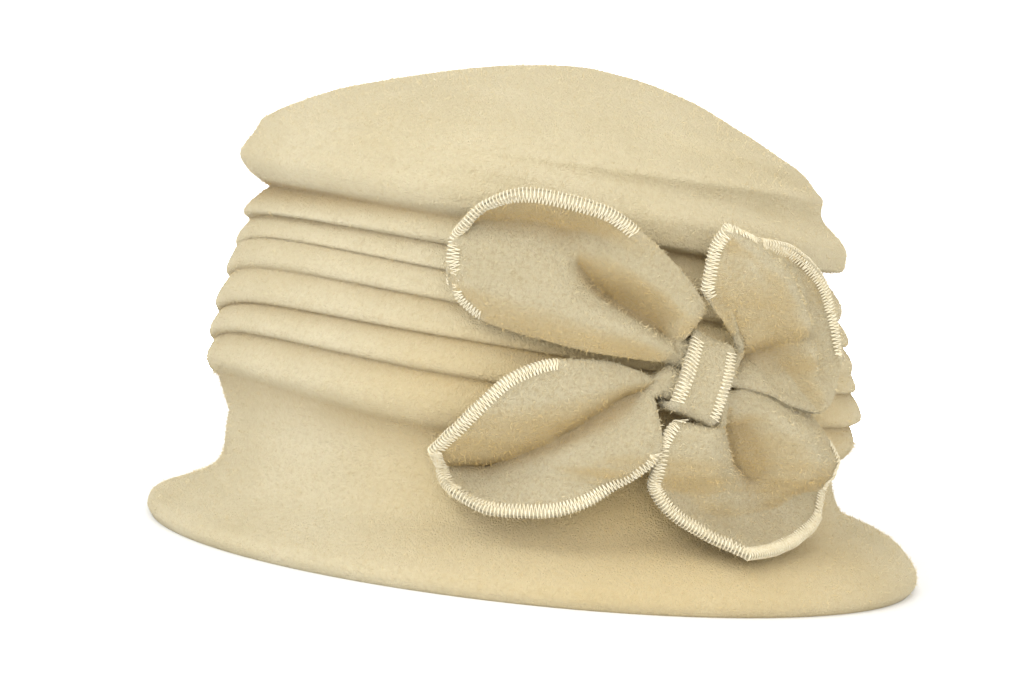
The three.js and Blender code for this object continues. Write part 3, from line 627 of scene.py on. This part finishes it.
# Node trees: values add Math nodes, and every other node comes from one method.
class Value:
    def __init__(self, tree, socket):
        self.tree, self.socket = tree, socket

    def combine(self, operation, a, b):
        return self.tree.add("ShaderNodeMath", {"operation": operation}, {0: a, 1: b}).out(0)

    def __add__(self, other):
        return self.combine("ADD", self, other)

    def __mul__(self, other):
        return self.combine("MULTIPLY", self, other)

    def __rsub__(self, other):
        return self.combine("SUBTRACT", other, self)

    def __truediv__(self, other):
        return self.combine("DIVIDE", self, other)

    def __pow__(self, other):
        return self.combine("POWER", self, other)

    __radd__, __rmul__ = __add__, __mul__


class Node:
    def __init__(self, tree, node):
        self.tree, self.node = tree, node

    def out(self, key):
        return Value(self.tree, self.node.outputs[key])


class Tree:
    def __init__(self, nodes, links):
        self.nodes, self.links = nodes, links

    def add(self, kind, settings=None, sockets=None):
        node = self.nodes.new(kind)
        for name, setting in (settings or {}).items():
            setattr(node, name, setting)
        for key, value in (sockets or {}).items():
            if isinstance(value, list):
                for one in value:
                    self.links.new(one.socket, node.inputs[key])
            elif isinstance(value, Value):
                self.links.new(value.socket, node.inputs[key])
            else:
                node.inputs[key].default_value = value
        return Node(self, node)

    def noise(self, place, scale, detail, roughness=0.5):
        return self.add("ShaderNodeTexNoise", {}, {
            "Vector": place, "Scale": scale, "Detail": detail, "Roughness": roughness,
        }).out("Fac")

    def larger(self, value, other):
        return value.combine("MAXIMUM", value, other)

    def mix(self, factor, a, b):
        node = self.add("ShaderNodeMix", {"data_type": "RGBA"}, {0: factor, 6: a, 7: b})
        return node.out(2)

    def remap(self, value, low, high):
        return self.add("ShaderNodeMapRange", {}, {"Value": value, "From Min": low, "From Max": high}).out(0)


def newMaterial(name, roughness, sheen, sheenTint):
    material = bpy.data.materials.new(name)
    material.use_nodes = True
    shader = material.node_tree.nodes["Principled BSDF"]
    shader.inputs["Roughness"].default_value = roughness
    shader.inputs["Sheen Weight"].default_value = sheen
    shader.inputs["Sheen Roughness"].default_value = 0.5
    shader.inputs["Sheen Tint"].default_value = sheenTint
    shader.inputs["Specular IOR Level"].default_value = 0.12
    return material, Tree(material.node_tree.nodes, material.node_tree.links), shader


# Cream felt. Flecks are small knots of fibre, the cloud is a broad change of tone.
feltLook = dict(
    pale=(0.8, 0.72, 0.51, 1), deep=(0.71, 0.62, 0.4, 1), fleck=(0.58, 0.46, 0.25, 1),
    # Painted shade: the first two colours here darken the creases and warm the felt under the bow or facing
    # down.
    creaseShadeColour=(0.52, 0.36, 0.14, 1), shaded=(0.77, 0.56, 0.22, 1), sewn=(0.83, 0.76, 0.57, 1),
    tuft=(0.62, 0.51, 0.29, 1), cloudScale=28, fibreScale=1700, tuftScale=1300,
    cloudRange=(0.3, 0.7), fleckRange=(0.46, 0.66), fibreRange=(0.48, 0.7), tuftRange=(0.38, 0.62),
    fibreAmount=0.6, creaseShadeAmount=0.65, creaseShadeCurve=1.4, shadedAmount=0.7, sewnAmount=0.6, fleckRelief=0.55,
)
hatFinish = dict(fleckScale=850, fleckAmount=0.4, relief=0.004)
bowFinish = dict(fleckScale=1000, fleckAmount=0.7, relief=0.009)


# Painted shade: the felt's colour is darkened in its creases and made warmer and darker where the bow shadows
# the hat or the felt faces down, and so is the fibres' colour there.
def withPaintedShade(tree, colour):
    creaseShade = tree.add("ShaderNodeAttribute", {"attribute_name": "creaseShade"}).out("Fac")
    sunk = creaseShade ** feltLook["creaseShadeCurve"] * feltLook["creaseShadeAmount"]
    colour = tree.mix(sunk, colour, feltLook["creaseShadeColour"])
    paintedShade = tree.add("ShaderNodeAttribute", {"attribute_name": "paintedShade"}).out("Fac")
    return tree.mix(paintedShade * feltLook["shadedAmount"], colour, feltLook["shaded"])


def feltMaterial(name, fleckScale, fleckAmount, relief):
    material, tree, shader = newMaterial(name, 0.95, 0.4, (1, 0.95, 0.82, 1))
    place = tree.add("ShaderNodeTexCoord").out("Object")
    cloud = tree.noise(place, feltLook["cloudScale"], 3)
    flecks = tree.noise(place, fleckScale, 3, 0.65)
    fibres = tree.noise(place, feltLook["fibreScale"], 4, 0.7)
    colour = tree.mix(tree.remap(cloud, *feltLook["cloudRange"]), feltLook["deep"], feltLook["pale"])
    colour = tree.mix(tree.remap(flecks, *feltLook["fleckRange"]) * fleckAmount, colour, feltLook["fleck"])
    fluff = tree.remap(fibres, *feltLook["fibreRange"]) * feltLook["fibreAmount"]
    colour = tree.mix(fluff, colour, feltLook["pale"])
    colour = withPaintedShade(tree, colour)
    sewn = tree.add("ShaderNodeAttribute", {"attribute_name": "sewn"}).out("Fac")
    colour = tree.mix(sewn * feltLook["sewnAmount"], colour, feltLook["sewn"])
    height = flecks * feltLook["fleckRelief"] + fibres * (1 - feltLook["fleckRelief"])
    bump = tree.add("ShaderNodeBump", {}, {
        "Strength": 0.8, "Distance": relief, "Height": height,
    })
    tree.links.new(colour.socket, shader.inputs["Base Color"])
    tree.links.new(bump.out("Normal").socket, shader.inputs["Normal"])
    return material


threadLook = dict(
    pale=(0.82, 0.77, 0.62, 1), deep=(0.7, 0.63, 0.45, 1), twistScale=1400, twistRange=(0.35, 0.65),
)


def threadMaterial():
    material, tree, shader = newMaterial("thread", 0.7, 0.3, (1, 1, 1, 1))
    place = tree.add("ShaderNodeTexCoord").out("Object")
    twist = tree.noise(place, threadLook["twistScale"], 2)
    shade = tree.remap(twist, *threadLook["twistRange"])
    colour = tree.mix(shade, threadLook["deep"], threadLook["pale"])
    tree.links.new(colour.socket, shader.inputs["Base Color"])
    return material


def napMaterial():
    material, tree, shader = newMaterial("nap", 0.9, 0.2, (1, 1, 1, 1))
    place = tree.add("ShaderNodeTexCoord").out("Object")
    tone = tree.remap(tree.noise(place, feltLook["tuftScale"], 2), *feltLook["tuftRange"])
    colour = withPaintedShade(tree, tree.mix(tone, feltLook["tuft"], feltLook["pale"]))
    tree.links.new(colour.socket, shader.inputs["Base Color"])
    return material


hatFelt = feltMaterial("hatFelt", **hatFinish)
bowFelt = feltMaterial("bowFelt", **bowFinish)
thread = threadMaterial()
napFibre = napMaterial()
for piece in (body, band, *(made[0] for made in strips.values())):
    piece.data.materials.append(hatFelt if piece is body else bowFelt)


# Geometry Nodes.
def newGroup(name, inputs):
    group = bpy.data.node_groups.new(name, "GeometryNodeTree")
    group.interface.new_socket("Geometry", in_out="INPUT", socket_type="NodeSocketGeometry")
    for label, kind, value in inputs:
        socket = group.interface.new_socket(label, in_out="INPUT", socket_type=f"NodeSocket{kind}")
        if kind != "Material":
            socket.default_value = value
    group.interface.new_socket("Geometry", in_out="OUTPUT", socket_type="NodeSocketGeometry")
    tree = Tree(group.nodes, group.links)
    return group, tree, tree.add("NodeGroupInput")


def finishGroup(tree, geometry, material):
    real = tree.add("GeometryNodeRealizeInstances", {}, {"Geometry": geometry})
    last = tree.add("GeometryNodeSetMaterial", {}, {"Geometry": real.out(0), "Material": material})
    tree.add("NodeGroupOutput", {}, {"Geometry": last.out(0)})


def grow(source, name, group, settings):
    modifier = source.modifiers.new(group.name, "NODES")
    modifier.node_group = group
    for item in group.interface.items_tree:
        if item.in_out == "INPUT" and item.name in settings:
            modifier[item.identifier] = settings[item.name]
    bpy.context.view_layer.update()
    evaluated = source.evaluated_get(bpy.context.evaluated_depsgraph_get())
    mesh = bpy.data.meshes.new_from_object(evaluated)
    source.modifiers.remove(modifier)
    piece = bpy.data.objects.new(name, mesh)
    bpy.context.scene.collection.objects.link(piece)
    return piece


# A stitch is two arches of thread over the felt's edge, slanting apart. Its frame comes from attributes.
def stitchGroup():
    group, tree, given = newGroup("stitches", [
        ("Width", "Float", 0.0035), ("Depth", "Float", 0.0024), ("Thread", "Float", 0.0002),
        ("Slant", "Float", 0.5), ("Material", "Material", None),
    ])
    arch = tree.add("GeometryNodeCurveArc", {}, {
        "Resolution": serging["archSteps"], "Radius": 1.0,
        "Start Angle": -math.pi / 2, "Sweep Angle": math.pi,
    })
    place = tree.add("ShaderNodeSeparateXYZ", {}, {0: tree.add("GeometryNodeInputPosition").out(0)})
    reach = tree.larger(place.out("X"), 0) ** serging["roundness"] * given.out("Width")
    legs = []
    for way in (-1, 1):
        bent = tree.add("ShaderNodeCombineXYZ", {}, {
            "X": reach, "Y": place.out("Y") * given.out("Depth") * 0.5, "Z": reach * given.out("Slant") * way,
        })
        legs.append(tree.add("GeometryNodeSetPosition", {}, {
            "Geometry": arch.out(0), "Position": bent.out(0),
        }).out(0))
    slanted = tree.add("GeometryNodeJoinGeometry", {}, {0: legs})
    ring = tree.add("GeometryNodeCurvePrimitiveCircle", {}, {
        "Resolution": serging["threadSides"], "Radius": given.out("Thread"),
    })
    rod = tree.add("GeometryNodeCurveToMesh", {}, {
        "Curve": slanted.out(0), "Profile Curve": ring.out(0), "Fill Caps": True,
    })
    points = tree.add("GeometryNodeMeshToPoints", {}, {"Mesh": given.out("Geometry")})
    edge, face = (
        tree.add("GeometryNodeInputNamedAttribute", {"data_type": "FLOAT_VECTOR"}, {"Name": name})
        for name in ("outwards", "faceUp")
    )
    turn = tree.add("FunctionNodeAlignRotationToVector", {"axis": "X"}, {"Vector": edge.out(0)})
    turn = tree.add("FunctionNodeAlignRotationToVector", {"axis": "Y", "pivot_axis": "X"}, {
        "Rotation": turn.out(0), "Vector": face.out(0),
    })
    bulge = tree.add("GeometryNodeInputNamedAttribute", {"data_type": "FLOAT"}, {"Name": "bulge"}).out(0)
    scale = tree.add("ShaderNodeCombineXYZ", {}, {"X": 1, "Y": bulge * 2 / given.out("Depth") + 1, "Z": 1})
    sewn = tree.add("GeometryNodeInstanceOnPoints", {}, {
        "Points": points.out(0), "Instance": rod.out(0), "Rotation": turn.out(0), "Scale": scale.out(0),
    })
    finishGroup(tree, sewn.out(0), given.out("Material"))
    return group


# Loose fibres stand on the felt outside the hat, leaning at random. Each is a closed spike of four faces.
def napGroup():
    group, tree, given = newGroup("nap", [
        ("Per Area", "Float", 100000.0), ("Length", "Float", 0.0012), ("Thickness", "Float", 0.00005),
        ("Lean", "Float", 0.8), ("Lowest", "Float", 0.0), ("Highest", "Float", 1.0),
        ("Material", "Material", None),
    ])
    place = tree.add("ShaderNodeSeparateXYZ", {}, {0: tree.add("GeometryNodeInputPosition").out(0)})
    inner = tree.add("GeometryNodeInputNamedAttribute", {"data_type": "FLOAT"}, {"Name": "inner"}).out(0)
    height = place.out("Z")
    above = height.combine("GREATER_THAN", height, given.out("Lowest"))
    below = height.combine("LESS_THAN", height, given.out("Highest"))
    spread = tree.add("GeometryNodeDistributePointsOnFaces", {}, {
        "Mesh": given.out("Geometry"), "Density": given.out("Per Area"), "Seed": nap["seed"],
        "Selection": above * below * (1 - inner),
    })
    spike = tree.add("GeometryNodeMeshCone", {"fill_type": "NGON"}, {
        "Vertices": 3, "Side Segments": 1, "Radius Top": 0.0,
        "Radius Bottom": given.out("Thickness"), "Depth": given.out("Length"),
    })
    tilt = tree.add("FunctionNodeRandomValue", {"data_type": "FLOAT_VECTOR"}, {
        0: (-1, -1, -1), 1: (1, 1, 1), "Seed": nap["seed"] + 1,
    })
    lean = tree.add("ShaderNodeVectorMath", {"operation": "SCALE"}, {
        0: tilt.out(0), "Scale": given.out("Lean"),
    })
    away = tree.add("ShaderNodeVectorMath", {"operation": "ADD"}, {0: spread.out("Normal"), 1: lean.out(0)})
    turn = tree.add("FunctionNodeAlignRotationToVector", {"axis": "Z"}, {"Vector": away.out(0)})
    size = tree.add("FunctionNodeRandomValue", {"data_type": "FLOAT"}, {
        2: nap["shortest"], 3: nap["longest"], "Seed": nap["seed"] + 2,
    })
    grown = tree.add("GeometryNodeInstanceOnPoints", {}, {
        "Points": spread.out("Points"), "Instance": spike.out("Mesh"), "Rotation": turn.out(0),
        "Scale": size.out(1),
    })
    finishGroup(tree, grown.out(0), given.out("Material"))
    return group


# Stitches along an outline of edge points: the feet lie on the felt, and bulge is how far it swells over
# the straight way to them.
def stitchPlaces(name, outline):
    closed = {key: np.array([*values, values[0]], float) for key, values in outline.items()}
    step = np.linalg.norm(np.diff(closed["place"], axis=0), axis=1)
    length = np.concatenate([[0], np.cumsum(step)])
    at = np.arange(serging["pitch"] * mm, length[-1], serging["pitch"] * mm)
    on = {}
    for key, values in closed.items():
        on[key] = np.column_stack([np.interp(at, length, row) for row in values.T])
    segment = np.searchsorted(length, at) - 1
    edge = np.diff(closed["place"], axis=0)[segment] / step[segment][:, None]
    outward = on["place"] - on["foot"]
    outward -= edge * (outward * edge).sum(axis=1)[:, None]
    outward /= np.linalg.norm(outward, axis=1)[:, None]
    base = on["place"] - outward * (serging["width"] - serging["proud"]) * mm
    sewn = on["bare"][:, 0] < 0.5
    piece = meshPiece(name, base[sewn], [])
    addAttribute(piece, "outwards", outward[sewn], "FLOAT_VECTOR")
    addAttribute(piece, "faceUp", on["normal"][sewn], "FLOAT_VECTOR")
    addAttribute(piece, "bulge", on["bulge"][sewn, 0] * mm)
    return piece


print("stage: stitches")
stitches = stitchGroup()
stitchSettings = {
    "Width": serging["width"] * mm, "Depth": (bow["felt"] + serging["bead"] + 2 * serging["proud"]) * mm,
    "Thread": serging["thread"] * mm, "Slant": serging["slant"], "Material": thread,
}
seams = {}
outlines = {**{name: made[1] for name, made in strips.items()}, "band": bandOutline}
for name, outline in outlines.items():
    places = stitchPlaces(f"places_{name}", outline)
    seams[name] = grow(places, f"serging_{name}", stitches, stitchSettings)
    bpy.data.objects.remove(places)

print("stage: nap")
fuzz = napGroup()
grows = {
    "crown": (body, "onHat", nap["split"], 1.0), "wall": (body, "onHat", 2 * nap["length"], nap["split"]),
    "upper": (strips["upper"][0], "onBow", 0.0, 1.0), "lower": (strips["lower"][0], "onBow", 0.0, 1.0),
    "band": (band, "onBow", 0.0, 1.0),
}
naps = {}
for name, (felt, amount, lowest, highest) in grows.items():
    naps[name] = grow(felt, f"nap_{name}", fuzz, {
        "Per Area": nap[amount], "Length": nap["length"], "Thickness": nap["thickness"], "Lean": nap["lean"],
        "Lowest": lowest, "Highest": highest, "Material": napFibre,
    })
    print(f"nap {name}: {sum(len(face.vertices) - 2 for face in naps[name].data.polygons)} triangles")

print("stage: frame")
for piece, slot in (
    (body, "hat_felt"), (naps["crown"], "hat_felt"), (naps["wall"], "hat_felt"), (band, "band_felt"),
    (naps["band"], "band_felt"), (seams["band"], "band_felt"),
    *((made[0], "bow_felt") for made in strips.values()),
    *((grown[name], "bow_felt") for grown in (seams, naps) for name in strips),
):
    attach(piece, "root")
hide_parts("hat_body")
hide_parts("bow_band")
for name, (piece, outline, cut) in strips.items():
    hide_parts(f"bow_strip_{name}")
    print(f"sheet {name}: {cut}")
print(f"sheet band: {bandCut}")


# Floor, backdrop, lights and camera.
def buildFloor():
    reach, radius = studio["floorSize"] / 2, studio["backdropRadius"]
    profile = [(-reach, 0.0), (reach - radius, 0.0)]
    for step in range(1, studio["backdropSteps"] + 1):
        turn = step / studio["backdropSteps"] * math.pi / 2
        profile.append((reach - radius + radius * math.sin(turn), radius * (1 - math.cos(turn))))
    profile.append((reach, studio["floorSize"]))
    away = math.radians(studio["azimuth"])
    right, back = Vector((math.cos(away), math.sin(away), 0)), Vector((-math.sin(away), math.cos(away), 0))
    points = []
    for along, height in profile:
        for side in (-reach, reach):
            points.append(right * side + back * along + Vector((0, 0, height)))
    faces = [(2 * i, 2 * i + 1, 2 * i + 3, 2 * i + 2) for i in range(len(profile) - 1)]
    floor = meshPiece("floor", points, faces)
    material = bpy.data.materials.new("floorPaper")
    material.use_nodes = True
    shader = material.node_tree.nodes["Principled BSDF"]
    shader.inputs["Base Color"].default_value = studio["floorColour"]
    shader.inputs["Roughness"].default_value = studio["floorRoughness"]
    floor.data.materials.append(material)


def areaLight(name, turn, rise, distance, size, power, colour, onBackdrop=False):
    light = bpy.data.lights.new(name, "AREA")
    light.shape, light.size, light.energy, light.color = "DISK", size, power, colour
    lamp = bpy.data.objects.new(name, light)
    turn, rise = math.radians(studio["azimuth"] + turn), math.radians(rise)
    level = math.cos(rise) * distance
    place = Vector((math.sin(turn) * level, -math.cos(turn) * level, math.sin(rise) * distance))
    lamp.location = place + Vector((0, 0, studio["lightAim"] * mm))
    facing = Vector((place.x, place.y, 0)) if onBackdrop else -place
    lamp.rotation_euler = facing.to_track_quat("-Z", "Y").to_euler()
    bpy.context.scene.collection.objects.link(lamp)


def buildCamera():
    turn, roll = math.radians(studio["azimuth"]), math.radians(studio["roll"])
    right = Vector((math.cos(turn), math.sin(turn), 0))
    back = Vector((math.sin(turn), -math.cos(turn), 0))
    drop = math.atan2(studio["cameraHeight"] - studio["aimHeight"], studio["distance"])
    view = -back * math.cos(drop) - Vector((0, 0, math.sin(drop)))
    level = right.cross(view)
    camera = bpy.data.cameras.new("camera")
    camera.sensor_width = studio["sensor"]
    camera.lens = studio["focalPixels"] * studio["sensor"] / studio["imageWidth"]
    camera.clip_start = studio["nearest"]
    holder = bpy.data.objects.new("camera", camera)
    axisX = right * math.cos(roll) + level * math.sin(roll)
    axisY = level * math.cos(roll) - right * math.sin(roll)
    place = back * studio["distance"] + right * studio["aimShift"] + Vector((0, 0, studio["cameraHeight"]))
    holder.matrix_world = Matrix.Translation(place * mm) @ Matrix((axisX, axisY, -view)).transposed().to_4x4()
    bpy.context.scene.collection.objects.link(holder)
    bpy.context.scene.camera = holder


print("stage: studio")
buildFloor()
buildCamera()
for name, settings in lights.items():
    areaLight(name, **settings)
world = bpy.data.worlds.new("studio")
world.use_nodes = True
world.node_tree.nodes["Background"].inputs["Color"].default_value = studio["skyColour"]
world.node_tree.nodes["Background"].inputs["Strength"].default_value = studio["skyStrength"]
bpy.context.scene.world = world
bpy.context.scene.view_settings.view_transform = "Standard"
